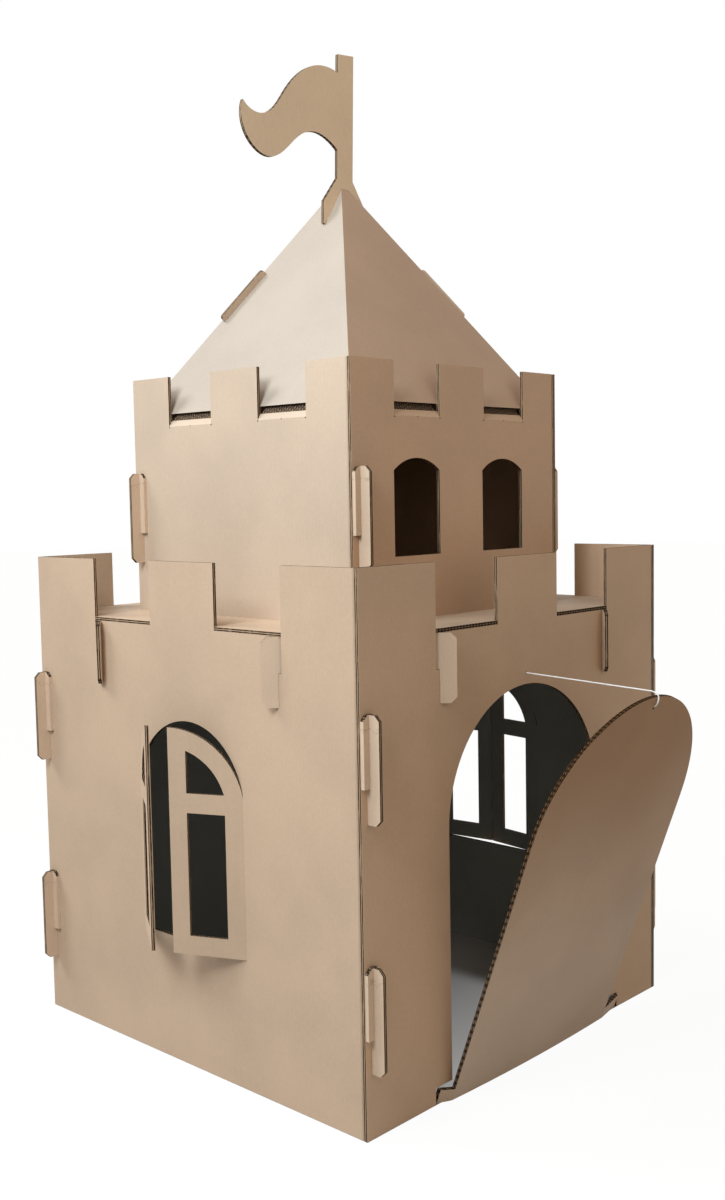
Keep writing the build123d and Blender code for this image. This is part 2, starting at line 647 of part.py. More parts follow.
def export(parts):
    """Move the origin to the bottom centre of the whole box and write each part."""
    boxes = [part.bounding_box() for name, part in parts.items() if "string" not in name]
    centre_x = (min(box.min.X for box in boxes) + max(box.max.X for box in boxes)) / 2
    centre_y = (min(box.min.Y for box in boxes) + max(box.max.Y for box in boxes)) / 2
    print("the towers' axis is at", round(-centre_x, 4), round(-centre_y, 4))
    os.makedirs("parts", exist_ok=True)
    for name, part in parts.items():
        export_step(Pos(-centre_x, -centre_y, 0) * part, f"parts/{name}.step")


export(build())
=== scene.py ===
# %% [markdown]
# # A play castle of folded corrugated card
# The card parts are already the right shape and stay as they are.  This lesson gives them
# the look of kraft card: flat brown liners, open flutes on the cut edges, soft creases and
# tears at the slots, with the dark in the flutes, creases and tears painted in as shade.
# The string and its knots are made here.

from math import cos, pi, radians, sin

import bpy
from mathutils import Matrix, Vector


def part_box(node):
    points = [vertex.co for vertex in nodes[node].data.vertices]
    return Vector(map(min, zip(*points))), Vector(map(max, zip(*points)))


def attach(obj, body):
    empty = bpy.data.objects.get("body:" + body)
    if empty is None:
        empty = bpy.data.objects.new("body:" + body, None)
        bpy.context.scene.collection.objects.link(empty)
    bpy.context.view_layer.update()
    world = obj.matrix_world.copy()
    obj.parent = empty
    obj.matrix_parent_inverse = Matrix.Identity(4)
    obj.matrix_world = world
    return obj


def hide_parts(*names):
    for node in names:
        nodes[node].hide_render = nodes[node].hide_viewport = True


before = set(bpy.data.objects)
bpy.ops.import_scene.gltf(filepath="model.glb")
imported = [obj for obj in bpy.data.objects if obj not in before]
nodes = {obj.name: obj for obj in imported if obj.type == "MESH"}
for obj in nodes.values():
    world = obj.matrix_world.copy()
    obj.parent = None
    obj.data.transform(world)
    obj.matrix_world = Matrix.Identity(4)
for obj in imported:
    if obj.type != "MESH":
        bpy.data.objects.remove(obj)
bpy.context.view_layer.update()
scene = bpy.context.scene
deck_low, deck_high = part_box("deck")
AXIS_X = (deck_low.x + deck_high.x) / 2
AXIS_Y = (deck_low.y + deck_high.y) / 2
HALF = (deck_high.x - deck_low.x) / 2
CARD = deck_high.z - deck_low.z
upper_low, upper_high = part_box("upper_front_wall")
UPPER_HALF = AXIS_X - upper_low.x
print("axis", round(AXIS_X, 4), round(AXIS_Y, 4), "card", round(CARD, 4))


def place(x, y, z):
    """A point given from the towers' axis at floor level, in millimetres."""
    return Vector((AXIS_X + x / 1000, AXIS_Y + y / 1000, z / 1000))


# %% [markdown]
# ## Camera
# The camera stands outside the front left corner, a little above the deck, and looks
# almost level.  It is rolled by about one degree.

# %% Camera
CAMERA_AZIMUTH = radians(-46.786)
CAMERA_ELEVATION = radians(4.687)
CAMERA_ROLL = radians(-1.0443)
camera_data = bpy.data.cameras.new("camera")
camera = bpy.data.objects.new("camera", camera_data)
scene.collection.objects.link(camera)
scene.camera = camera
camera_data.sensor_fit = "VERTICAL"
camera_data.sensor_height = 24.0
camera_data.lens = 26.175
back = Vector((
    sin(CAMERA_AZIMUTH) * cos(CAMERA_ELEVATION),
    -cos(CAMERA_AZIMUTH) * cos(CAMERA_ELEVATION),
    sin(CAMERA_ELEVATION),
))
right = (-back).cross(Vector((0, 0, 1))).normalized()
up = right.cross(-back)
rolled_right = right * cos(CAMERA_ROLL) + up * sin(CAMERA_ROLL)
rolled_up = up * cos(CAMERA_ROLL) - right * sin(CAMERA_ROLL)
turn = Matrix((rolled_right, rolled_up, back)).transposed().to_4x4()
camera.matrix_world = Matrix.Translation(place(-1860.0, -1783.9, 1013.2)) @ turn
print("camera at", [round(v, 3) for v in camera.location])

# %% [markdown]
# ## String
# A thin white string holds the drawbridge.  It is tied behind the wall, runs taut to the
# drawbridge, goes over its edge and back through a hole to a second knot.  A smooth curve
# with a round bevel is the plain way to make it.

# %% String route
BRIDGE_LEAN = radians(20.0)
BRIDGE_LENGTH = 717.0
BRIDGE_BOW = 15.0
STRING_DIAMETER = 2.5
STAND_OFF = 4.0
KNOT_ROOM = 4.5
HOLE_DROP = 20.0
WALL_HOLE_HEIGHT = 692.5
BEFORE_CREST = 0.015
CARD_MM = CARD * 1000
HALF_MM = HALF * 1000


def bridge_point(up_sheet, out):
    """A point up the drawbridge's sheet and out from its front face, in millimetres."""
    y = -HALF_MM - BRIDGE_BOW - up_sheet * sin(BRIDGE_LEAN) - out * cos(BRIDGE_LEAN)
    z = up_sheet * cos(BRIDGE_LEAN) - out * sin(BRIDGE_LEAN)
    return place(0, y, z)


hole_up = BRIDGE_LENGTH - HOLE_DROP
crest = bridge_point(BRIDGE_LENGTH + STAND_OFF + 2, -CARD_MM - STAND_OFF / 2)
brow = bridge_point(BRIDGE_LENGTH + STAND_OFF, STAND_OFF)
turn_in = bridge_point(hole_up, STAND_OFF)
string_end = bridge_point(hole_up, -CARD_MM - KNOT_ROOM)
wall_hole = place(0, -HALF_MM, WALL_HOLE_HEIGHT)
pull = (wall_hole - crest).normalized()
string_start = wall_hole + pull * (CARD + KNOT_ROOM / 1000)
near_crest = crest + pull * BEFORE_CREST
route = [string_start, near_crest, crest, brow, turn_in, string_end]

curve = bpy.data.curves.new("string_line", "CURVE")
curve.dimensions = "3D"
spline = curve.splines.new("NURBS")
spline.points.add(len(route) - 1)
for point, where in zip(spline.points, route):
    point.co = (*where, 1)
    point.radius = STRING_DIAMETER / 2000
spline.order_u = 3
spline.use_endpoint_u = True
spline.resolution_u = 24
curve.bevel_depth = 1.0
curve.bevel_resolution = 4
curve.use_fill_caps = True
string_piece = bpy.data.objects.new("string_line", curve)
scene.collection.objects.link(string_piece)
print("string route of", len(route), "points")


# %% Knots
def select_only(piece):
    """Select one object and make it active."""
    bpy.ops.object.select_all(action="DESELECT")
    piece.select_set(True)
    bpy.context.view_layer.objects.active = piece


def at_origin(piece):
    """Put the object's place into its mesh."""
    select_only(piece)
    bpy.ops.object.transform_apply(location=True, rotation=True, scale=True)


KNOT_TURNS = 3
POINTS_PER_TURN = 8
KNOT_THICKNESS = 0.0040
KNOT_RADIUS = 0.0024
KNOT_WAVER = 0.0004
STRAND_RADIUS = 0.0012


def overhand_knot(name, centre):
    """A small pulled knot: a strand wound round a few times."""
    knot_curve = bpy.data.curves.new(name, "CURVE")
    knot_curve.dimensions = "3D"
    line = knot_curve.splines.new("NURBS")
    steps = POINTS_PER_TURN * KNOT_TURNS
    line.points.add(steps - 1)
    for index in range(steps):
        angle = 2 * pi * index / POINTS_PER_TURN
        lift = (index / steps - 0.5) * KNOT_THICKNESS
        reach = KNOT_RADIUS + KNOT_WAVER * sin(3 * angle)
        line.points[index].co = (reach * cos(angle), lift, reach * sin(angle), 1)
    line.order_u = 3
    line.use_cyclic_u = True
    knot_curve.bevel_depth = STRAND_RADIUS
    knot_curve.bevel_resolution = 3
    winding = bpy.data.objects.new(name, knot_curve)
    scene.collection.objects.link(winding)
    bpy.context.view_layer.update()
    shape = bpy.data.meshes.new_from_object(
        winding.evaluated_get(bpy.context.evaluated_depsgraph_get())
    )
    bpy.data.objects.remove(winding)
    piece = bpy.data.objects.new(name, shape)
    piece.location = centre
    scene.collection.objects.link(piece)
    bpy.context.view_layer.update()
    at_origin(piece)
    print(name, len(piece.data.vertices), "vertices")
    return piece


wall_knot = overhand_knot("knot_in_wall", string_start)
bridge_knot = overhand_knot("knot_in_bridge", string_end)
string_parts = [string_piece, wall_knot, bridge_knot]
for piece in string_parts:
    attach(piece, "root")
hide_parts("string")
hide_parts("string_knots")
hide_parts("string_knots")
print("string and knots made")

# %% [markdown]
# ## Node helpers
# Materials, the floor and the world are all node trees, so a small class adds nodes to any
# of them in one line each.

# %% Node helpers
class Tree:
    """Adds nodes to a node tree in few words."""

    def __init__(self, tree):
        self.tree = tree

    def link(self, source, socket):
        """Join a socket, or set a plain value."""
        if isinstance(source, bpy.types.NodeSocket):
            self.tree.links.new(source, socket)
        else:
            socket.default_value = source

    def math(self, operation, *values):
        """One Math node."""
        node = self.tree.nodes.new("ShaderNodeMath")
        node.operation = operation
        for socket, value in zip(node.inputs, values):
            self.link(value, socket)
        return node.outputs[0]

    def mix(self, share, first, second):
        """Mix two colours."""
        node = self.tree.nodes.new("ShaderNodeMix")
        node.data_type = "RGBA"
        self.link(share, node.inputs[0])
        self.link(first, node.inputs[6])
        self.link(second, node.inputs[7])
        return node.outputs[2]

    def value(self, share, first, second):
        """Mix two plain values."""
        node = self.tree.nodes.new("ShaderNodeMix")
        self.link(share, node.inputs[0])
        self.link(first, node.inputs[2])
        self.link(second, node.inputs[3])
        return node.outputs[0]

    def multiply(self, share, first, second):
        """Multiply two colours."""
        node = self.tree.nodes.new("ShaderNodeMix")
        node.data_type = "RGBA"
        node.blend_type = "MULTIPLY"
        self.link(share, node.inputs[0])
        self.link(first, node.inputs[6])
        self.link(second, node.inputs[7])
        return node.outputs[2]

    def ramp(self, value, low, high, first=0.0, last=1.0):
        """Map Range, clamped and smooth."""
        node = self.tree.nodes.new("ShaderNodeMapRange")
        node.interpolation_type = "SMOOTHSTEP"
        for index, item in enumerate((value, low, high, first, last)):
            self.link(item, node.inputs[index])
        return node.outputs[0]

    def noise(self, vector, scale, detail=3.0, roughness=0.5):
        """Noise from 0 to 1."""
        node = self.tree.nodes.new("ShaderNodeTexNoise")
        self.link(vector, node.inputs["Vector"])
        node.inputs["Scale"].default_value = scale
        node.inputs["Detail"].default_value = detail
        node.inputs["Roughness"].default_value = roughness
        return node.outputs["Fac"]

    def stretch(self, vector, scale):
        """Mapping node that scales the coordinates."""
        node = self.tree.nodes.new("ShaderNodeMapping")
        self.link(vector, node.inputs["Vector"])
        node.inputs["Scale"].default_value = scale
        return node.outputs[0]

    def grain(self, vector, scale, detail, roughness, amount):
        """Noise as a small share above and below nothing."""
        return self.ramp(self.noise(vector, scale, detail, roughness), 0.3, 0.7, -amount, amount)

    def wander(self, vector, scale, detail, reach):
        """Noise about zero, for ragged lines."""
        centred = self.math("SUBTRACT", self.noise(vector, scale, detail), 0.5)
        return self.math("MULTIPLY", centred, reach)

    def split(self, vector):
        """The three parts of a vector."""
        node = self.tree.nodes.new("ShaderNodeSeparateXYZ")
        self.link(vector, node.inputs[0])
        return node.outputs[0], node.outputs[1], node.outputs[2]


# %% [markdown]
# ## Light and floor
# A soft round panel stands off the left side and lights the left faces, most of all high
# up.  A soft sun from behind lights the deck, and its shadow falls to the front right.
# The front faces are left in soft warm shade.  The background is
# white only for the camera, so it adds no light to the card.

# %% Lamp and world
sun_data = bpy.data.lights.new("sun", "SUN")
sun_data.energy = 2.0
sun_data.angle = radians(26)
sun_data.color = (1.0, 1.0, 0.99)
sun = bpy.data.objects.new("sun", sun_data)
scene.collection.objects.link(sun)
SUN_FROM = Vector((-0.35, 0.62, 0.75))
sun.rotation_euler = SUN_FROM.to_track_quat("Z", "Y").to_euler()
front_data = bpy.data.lights.new("front_fill", "SUN")
front_data.energy = 0.57
front_data.angle = radians(70)
front_data.color = (1.0, 0.83, 0.64)
front_fill = bpy.data.objects.new("front_fill", front_data)
scene.collection.objects.link(front_fill)
FILL_FROM = Vector((-0.25, -1.0, 0.45))
front_fill.rotation_euler = FILL_FROM.to_track_quat("Z", "Y").to_euler()

panel_data = bpy.data.lights.new("soft_panel", "AREA")
panel_data.shape = "DISK"
panel_data.size = 1.2
panel_data.energy = 50.5
panel_data.color = (0.92, 1.0, 1.06)
panel = bpy.data.objects.new("soft_panel", panel_data)
scene.collection.objects.link(panel)
panel.location = place(-2000, -350, 2300)
panel.visible_camera = False
panel.rotation_euler = (panel.location - place(0, 0, 1300)).to_track_quat("Z", "Y").to_euler()

world = bpy.data.worlds.new("studio")
scene.world = world
world.use_nodes = True


def camera_sees(tree):
    """A socket that is 1 where the camera, a reflection or a clear surface looks."""
    path = tree.tree.nodes.new("ShaderNodeLightPath")
    seen = tree.math("MAXIMUM", path.outputs["Is Camera Ray"], path.outputs["Is Glossy Ray"])
    return tree.math("MAXIMUM", seen, path.outputs["Is Transmission Ray"])


sky = world.node_tree
sky.nodes.clear()
world_out = sky.nodes.new("ShaderNodeOutputWorld")
lighting = sky.nodes.new("ShaderNodeBackground")
lighting.inputs["Color"].default_value = (1.0, 0.92, 0.83, 1)
lighting.inputs["Strength"].default_value = 0.27
white = sky.nodes.new("ShaderNodeBackground")
white.inputs["Color"].default_value = (1, 1, 1, 1)
white.inputs["Strength"].default_value = 1.0
blend = sky.nodes.new("ShaderNodeMixShader")
sky.links.new(camera_sees(Tree(sky)), blend.inputs[0])
sky.links.new(lighting.outputs[0], blend.inputs[1])
sky.links.new(white.outputs[0], blend.inputs[2])
sky.links.new(blend.outputs[0], world_out.inputs[0])
scene.view_settings.view_transform = "Standard"

# %% Floor
FLOOR_WHITE = 0.88
INSIDE_PAINTED_LIGHT = 0.23
DEEPEST_LIT = 0.15
DOOR_LIT = (0.19, 0.26)
bpy.ops.object.select_all(action="DESELECT")
bpy.ops.mesh.primitive_plane_add(size=40, location=(AXIS_X, AXIS_Y, -0.0005))
floor = bpy.context.active_object
floor.name = "floor"
at_origin(floor)
floor_material = bpy.data.materials.new("pale floor")
floor_material.use_nodes = True
floor_nodes = floor_material.node_tree.nodes
floor_nodes.clear()
tree = Tree(floor_material.node_tree)
floor_out = floor_nodes.new("ShaderNodeOutputMaterial")
matte = floor_nodes.new("ShaderNodeBsdfDiffuse")
matte.inputs["Color"].default_value = (0.46, 0.45, 0.44, 1)
glow = floor_nodes.new("ShaderNodeEmission")
glow.inputs["Color"].default_value = (1, 1, 1, 1)
glow.inputs["Strength"].default_value = 1.08
floor_x, floor_y, _ = tree.split(floor_nodes.new("ShaderNodeTexCoord").outputs["Object"])
off_x = tree.math("SUBTRACT", floor_x, AXIS_X)
off_y = tree.math("SUBTRACT", floor_y, AXIS_Y)
side_way = tree.math("ABSOLUTE", off_x)
farther = tree.math("MAXIMUM", side_way, tree.math("ABSOLUTE", off_y))
outside = tree.math("GREATER_THAN", farther, HALF)
# Painted light: inside the castle the floor glows for the camera only in a patch behind the
# doorway, brightest at the front wall and fading inwards.
inside_painted_light = tree.ramp(off_y, -HALF, DEEPEST_LIT, INSIDE_PAINTED_LIGHT, 0.0)
painted_light_by_door = tree.math("MULTIPLY", inside_painted_light, tree.ramp(side_way, *DOOR_LIT, 1.0, 0.0))
white_share = tree.value(outside, painted_light_by_door, FLOOR_WHITE)
floor_mix = floor_nodes.new("ShaderNodeMixShader")
tree.link(tree.math("MULTIPLY", camera_sees(tree), white_share), floor_mix.inputs[0])
tree.link(matte.outputs[0], floor_mix.inputs[1])
tree.link(glow.outputs[0], floor_mix.inputs[2])
tree.link(floor_mix.outputs[0], floor_out.inputs[0])
floor.data.materials.append(floor_material)
print("floor and lamps set")

# %% [markdown]
# ## Card
# Kraft card has three looks.  Its liners are flat brown paper with fine fibres, slow
# blotches and faint lines over the flutes.  A cut across the flutes shows two rows of
# waves between three pale liners, and the hollow flutes are near black with painted
# shade.  A cut along the flutes shows pale liners with painted shade in the grooves.
# One node group works out which of these a point shows, from the way its surface faces
# and from its depth in the sheet.


# %% Node groups
def new_group(name, inputs, outputs):
    """A shader node group with named sockets, and its in and out nodes."""
    group = bpy.data.node_groups.new(name, "ShaderNodeTree")
    for label, kind in inputs:
        group.interface.new_socket(label, in_out="INPUT", socket_type=kind)
    for label, kind in outputs:
        group.interface.new_socket(label, in_out="OUTPUT", socket_type=kind)
    entry = group.nodes.new("NodeGroupInput")
    finish = group.nodes.new("NodeGroupOutput")
    return group, Tree(group), entry, finish


FLOAT = "NodeSocketFloat"
VECTOR = "NodeSocketVector"
COLOR = "NodeSocketColor"

# %% Liner paper group
paper_group, tree, entry, finish = new_group(
    "kraft paper",
    [("Position", VECTOR), ("Across", FLOAT), ("Tone", COLOR)],
    [("Color", COLOR), ("Height", FLOAT)],
)
position = entry.outputs["Position"]
blotch = tree.noise(position, 5.0, 3.0, 0.55)
fibre = tree.noise(tree.stretch(position, (1, 1, 0.5)), 260.0, 4.0, 0.62)
scuff = tree.noise(position, 38.0, 5.0, 0.6)
FLUTE_PITCH = 0.0082
wave = tree.math("SINE", tree.math("MULTIPLY", entry.outputs["Across"], 2 * pi / FLUTE_PITCH))
tone = entry.outputs["Tone"]
shade = tree.math("ADD", 1.0, tree.grain(position, 5.0, 3.0, 0.55, 0.050))
speck = tree.grain(tree.stretch(position, (1, 1, 0.35)), 900.0, 2.0, 0.7, 0.040)
shade = tree.math("ADD", shade, speck)
shade = tree.math("ADD", shade, tree.ramp(fibre, 0.3, 0.7, -0.022, 0.022))
shade = tree.math("ADD", shade, tree.math("MULTIPLY", wave, 0.005))
shade_color = tree.tree.nodes.new("ShaderNodeCombineColor")
for index in range(3):
    tree.link(shade, shade_color.inputs[index])
color = tree.multiply(1.0, tone, shade_color.outputs[0])
worn = tree.ramp(scuff, 0.66, 0.80, 0.0, 0.20)
color = tree.mix(worn, color, (0.56, 0.45, 0.34, 1))
tree.link(color, finish.inputs["Color"])
height = tree.math("ADD", tree.math("MULTIPLY", wave, 0.07), tree.math("MULTIPLY", fibre, 0.14))
height = tree.math("ADD", height, tree.math("MULTIPLY", blotch, 1.6))
tree.link(height, finish.inputs["Height"])
print("paper group made")

# %% Cut edge group
edge_group, tree, entry, finish = new_group(
    "cut card edge",
    [("Depth", FLOAT), ("Along", FLOAT), ("Open", FLOAT), ("Position", VECTOR)],
    [("Color", COLOR), ("Height", FLOAT)],
)
ragged = tree.math("SUBTRACT", tree.noise(entry.outputs["Position"], 170.0, 3.0, 0.6), 0.5)
depth = tree.math("ADD", entry.outputs["Depth"], tree.math("MULTIPLY", ragged, 0.0008))
along = tree.math("ADD", entry.outputs["Along"], tree.math("MULTIPLY", ragged, 0.0030))
half_card = CARD / 2
in_layer = tree.math("PINGPONG", depth, half_card / 2)
liner = tree.ramp(in_layer, 0.00022, 0.00050, 1.0, 0.0)
wide_liner = tree.ramp(in_layer, 0.00050, 0.00085, 1.0, 0.0)
layer_place = tree.math("SUBTRACT", tree.math("FLOORED_MODULO", depth, half_card), half_card / 2)
swing = tree.math("SINE", tree.math("MULTIPLY", along, 2 * pi / FLUTE_PITCH))
medium_line = tree.math("MULTIPLY", swing, half_card * 0.40)
to_medium = tree.math("ABSOLUTE", tree.math("SUBTRACT", layer_place, medium_line))
medium = tree.ramp(to_medium, 0.00015, 0.00045, 1.0, 0.0)
open_pattern = tree.math("MAXIMUM", liner, tree.math("MULTIPLY", medium, 0.85))
# Painted shade: the medium is darker on the half of each wave that lies back in the flute.
hollow_shade = tree.ramp(swing, -0.5, 0.5, 0.18, 1.0)
open_pattern = tree.math("MULTIPLY", open_pattern, hollow_shade)
drawn_out = tree.stretch(entry.outputs["Position"], (1, 1, 0.25))
groove = tree.ramp(tree.noise(drawn_out, 120.0, 4.0, 0.7), 0.50, 0.66)
closed_pattern = tree.math("MAXIMUM", wide_liner, tree.math("MULTIPLY", groove, 0.40))
pattern = tree.value(entry.outputs["Open"], closed_pattern, open_pattern)
# The near-black is painted shade in the open flutes and grooves; the pale is the liners and the
# medium.
color = tree.mix(pattern, (0.016, 0.009, 0.005, 1), (0.42, 0.30, 0.20, 1))
tree.link(color, finish.inputs["Color"])
tree.link(pattern, finish.inputs["Height"])
print("edge group made")

# %% [markdown]
# Each sheet has its own way of lying in space, so each kind of sheet gets a material
# that feeds the groups with the right depth and direction.  A wall is a panel and a
# folded flap.  The side that a wall faces is worked out from its name.

# %% Card material
SIDE_SIGN = {"front": ("y", -1), "right": ("x", 1), "back": ("y", 1), "left": ("x", -1)}
KRAFT = (0.478, 0.350, 0.246, 1)
LIGHT_KRAFT = (0.565, 0.430, 0.315, 1)
SHADED_KRAFT = (0.535, 0.368, 0.243, 1)
BRIDGE_KRAFT = (0.520, 0.392, 0.285, 1)
PALE_KRAFT = (0.665, 0.492, 0.330, 1)
UPPER_SHADED = (0.520, 0.346, 0.222, 1)
UPPER_LIT_KRAFT = (0.500, 0.390, 0.292, 1)
INSIDE_SHADE_TINT = (0.66, 1.02, 1.45, 1)
ROOF_LEFT_SHEEN = (0.80, 0.93, 1.08, 1)
ROOF_FRONT_SHADE = (0.90, 0.82, 0.78, 1)
ROOF_FOOT_SHADE = (0.20, 0.17, 0.15, 1)


def place_group(tree, group):
    """A group node in a material."""
    node = tree.tree.nodes.new("ShaderNodeGroup")
    node.node_tree = group
    return node


def card_material(name, tone, depth_of, across_of, liner_mask, open_of, extra=None):
    """A card material from functions that build its depth, direction and masks."""
    material = bpy.data.materials.new(name)
    material.use_nodes = True
    tree = Tree(material.node_tree)
    shader = material.node_tree.nodes["Principled BSDF"]
    coordinates = material.node_tree.nodes.new("ShaderNodeTexCoord").outputs["Object"]
    geometry = material.node_tree.nodes.new("ShaderNodeNewGeometry")
    where = tree.split(coordinates)
    facing = tree.split(geometry.outputs["True Normal"])
    paper = place_group(tree, paper_group)
    tree.link(coordinates, paper.inputs["Position"])
    tree.link(across_of(tree, where), paper.inputs["Across"])
    paper.inputs["Tone"].default_value = tone
    edge = place_group(tree, edge_group)
    tree.link(coordinates, edge.inputs["Position"])
    tree.link(depth_of(tree, where, facing), edge.inputs["Depth"])
    tree.link(across_of(tree, where), edge.inputs["Along"])
    tree.link(open_of(tree, where, facing), edge.inputs["Open"])
    liner = liner_mask(tree, where, facing)
    color = tree.mix(liner, edge.outputs["Color"], paper.outputs["Color"])
    if extra:
        color = extra(tree, coordinates, where, facing, color)
    tree.link(color, shader.inputs["Base Color"])
    paper_bump = material.node_tree.nodes.new("ShaderNodeBump")
    paper_bump.inputs["Strength"].default_value = 0.35
    paper_bump.inputs["Distance"].default_value = 0.0008
    edge_height = tree.math("MULTIPLY", edge.outputs["Height"], 3.0)
    height = tree.value(liner, edge_height, paper.outputs["Height"])
    tree.link(height, paper_bump.inputs["Height"])
    tree.link(paper_bump.outputs[0], shader.inputs["Normal"])
    shader.inputs["Roughness"].default_value = 0.66
    tree.link(tree.ramp(liner, 0.0, 1.0, 0.03, 0.45), shader.inputs["Specular IOR Level"])
    return material


def wall_material(side, half, tone, shaded_tears_at):
    """The material of a wall on one side of a tower."""
    axis, sign = SIDE_SIGN[side]
    centre = AXIS_Y if axis == "y" else AXIS_X
    own = 1 if axis == "y" else 0
    other = 1 - own

    def panel_depth(tree, where):
        """Distance in from the wall's outer face."""
        from_axis = tree.math("SUBTRACT", where[own], centre)
        return tree.math("SUBTRACT", half, tree.math("MULTIPLY", from_axis, sign))

    def in_flap(tree, where):
        """1 behind the panel, where the flap is."""
        return tree.math("GREATER_THAN", panel_depth(tree, where), CARD + 0.0002)

    def depth_of(tree, where, facing):
        """Depth in the panel, or in the flap."""
        other_centre = AXIS_X if own == 1 else AXIS_Y
        flap = tree.math("ABSOLUTE", tree.math("SUBTRACT", where[other], other_centre))
        flap = tree.math("SUBTRACT", half - CARD, flap)
        chosen = tree.value(in_flap(tree, where), panel_depth(tree, where), flap)
        return tree.math("ADD", chosen, 10 * CARD)

    def across_of(tree, where):
        """Along the wall, at right angles to its upright flutes."""
        return tree.math("ADD", where[0], where[1])

    def liner_mask(tree, where, facing):
        """1 on the paper, 0 on a cut edge."""
        flat = tree.math("GREATER_THAN", tree.math("ABSOLUTE", facing[own]), 0.60)
        folded = tree.math("GREATER_THAN", tree.math("ABSOLUTE", facing[other]), 0.60)
        return tree.value(in_flap(tree, where), flat, folded)

    def open_of(tree, where, facing):
        """1 where the cut crosses the upright flutes."""
        return tree.ramp(tree.math("ABSOLUTE", facing[2]), 0.25, 0.6)

    def shade_in_tears_and_inside(tree, coordinates, where, facing, color):
        """Painted shade: near-black spots where the slots are torn open onto the dark inside,
        and a painted cool shade on the inner side low down.
        """
        # The tears are real; their near-black colour is painted shade from the dark inside.
        for spot, size in shaded_tears_at:
            away = tree.tree.nodes.new("ShaderNodeVectorMath")
            away.operation = "DISTANCE"
            tree.link(coordinates, away.inputs[0])
            away.inputs[1].default_value = spot
            rough = tree.math("MULTIPLY", tree.noise(coordinates, 260.0, 3.0, 0.7), size * 0.9)
            edge = tree.math("ADD", away.outputs["Value"], rough)
            hole_shade = tree.ramp(edge, size * 0.85, size * 1.15, 1.0, 0.0)
            color = tree.mix(hole_shade, color, (0.030, 0.017, 0.010, 1))
        # Painted shade: inner faces below the deck are tinted bluer and less red, as the shaded
        # inside looks.
        behind = tree.math("LESS_THAN", tree.math("MULTIPLY", facing[own], sign), -0.5)
        low_down = tree.math("LESS_THAN", where[2], deck_low.z)
        return tree.multiply(tree.math("MULTIPLY", behind, low_down), color, INSIDE_SHADE_TINT)

    return card_material(
        f"card of {side} wall {half:.2f}", tone, depth_of, across_of, liner_mask, open_of, shade_in_tears_and_inside
    )


def side_point(side, x, out, z, half_mm):
    """A point on a wall: x from its middle, out from its face, and its height, in mm."""
    spots = {
        "front": (x, -half_mm - out),
        "right": (half_mm + out, x),
        "back": (-x, half_mm + out),
        "left": (-half_mm - out, -x),
    }
    return place(*spots[side], z)


def lower_tears(side):
    """Tears above the brace slots and at the ends of the clip slots."""
    spots = [((-242, 0, 728), 5.0), ((250, 0, 728), 5.0)]
    spots += [((-412, 0, 565), 5.5), ((-412, 0, 164), 5.0)]
    return [(side_point(side, *spot, HALF_MM), size / 1000) for spot, size in spots]


def upper_tears(side):
    """Tears at the ends of each crenel's fold, and a nick half way along it."""
    half_mm = UPPER_HALF * 1000
    spots = [((x, 0, 1142), 2.6) for x in (-182, -62, 64, 184)]
    spots += [((x, 0, 1143), 2.2) for x in (-122, 124)]
    spots += [((-274, 0, 945), 4.0)]
    return [(side_point(side, *spot, half_mm), size / 1000) for spot, size in spots]


for side in SIDE_SIGN:
    lower = nodes[f"lower_{side}_wall"]
    lower.data.materials.clear()
    tone = SHADED_KRAFT if side in ("front", "right") else KRAFT
    lower.data.materials.append(wall_material(side, HALF, tone, lower_tears(side)))
    upper = nodes[f"upper_{side}_wall"]
    upper.data.materials.clear()
    # Painted light: the upper left and back walls take a paler, cooler tone for the whiter light
    # high on the lit side; the upper front and right walls take a painted shade tone.
    upper_tone = UPPER_SHADED if side in ("front", "right") else UPPER_LIT_KRAFT
    upper.data.materials.append(wall_material(side, UPPER_HALF, upper_tone, upper_tears(side)))
print("wall materials made")


# %% Sheets that lie one way
def sheet_material(name, tone, normal, origin, across, limit=0.7, extra=None, all_open=False):
    """A material for a flat sheet: its normal, a point on its face, and its flutes."""
    normal = Vector(normal).normalized()
    across = Vector(across).normalized()
    flute = normal.cross(across)

    def dot(tree, parts, vector, start=0.0):
        """Sum of three products."""
        total = start
        for part, amount in zip(parts, vector):
            if abs(amount) > 1e-6:
                total = tree.math("ADD", tree.math("MULTIPLY", part, amount), total)
        return total

    def depth_of(tree, where, facing):
        return dot(tree, where, normal, 20 * CARD - normal.dot(Vector(origin)))

    def across_of(tree, where):
        return dot(tree, where, across)

    def liner_mask(tree, where, facing):
        return tree.math("GREATER_THAN", tree.math("ABSOLUTE", dot(tree, facing, normal)), limit)

    def open_of(tree, where, facing):
        if all_open:
            return 1.0
        return tree.ramp(tree.math("ABSOLUTE", dot(tree, facing, flute)), 0.25, 0.6)

    return card_material(name, tone, depth_of, across_of, liner_mask, open_of, extra)


def give(node_name, material):
    """Give a CAD node one material."""
    node = nodes[node_name]
    node.data.materials.clear()
    node.data.materials.append(material)


deck_top = (AXIS_X, AXIS_Y, deck_high.z)
give("deck", sheet_material("card of deck", KRAFT, (0, 0, 1), deck_top, (1, 0, 0)))
bridge_normal = (0, -cos(BRIDGE_LEAN), -sin(BRIDGE_LEAN))


def painted_bounce_light_low(tree, coordinates, where, facing, color):
    """Painted light from the floor's bounce: the sheet is darker higher up, so it is paler and
    greyer towards the foot.
    """
    patch = tree.wander(coordinates, 3.0, 2.0, 0.25)
    share = tree.ramp(tree.math("ADD", where[2], patch), 0.12, 0.66)
    return tree.multiply(share, color, (0.56, 0.41, 0.26, 1))


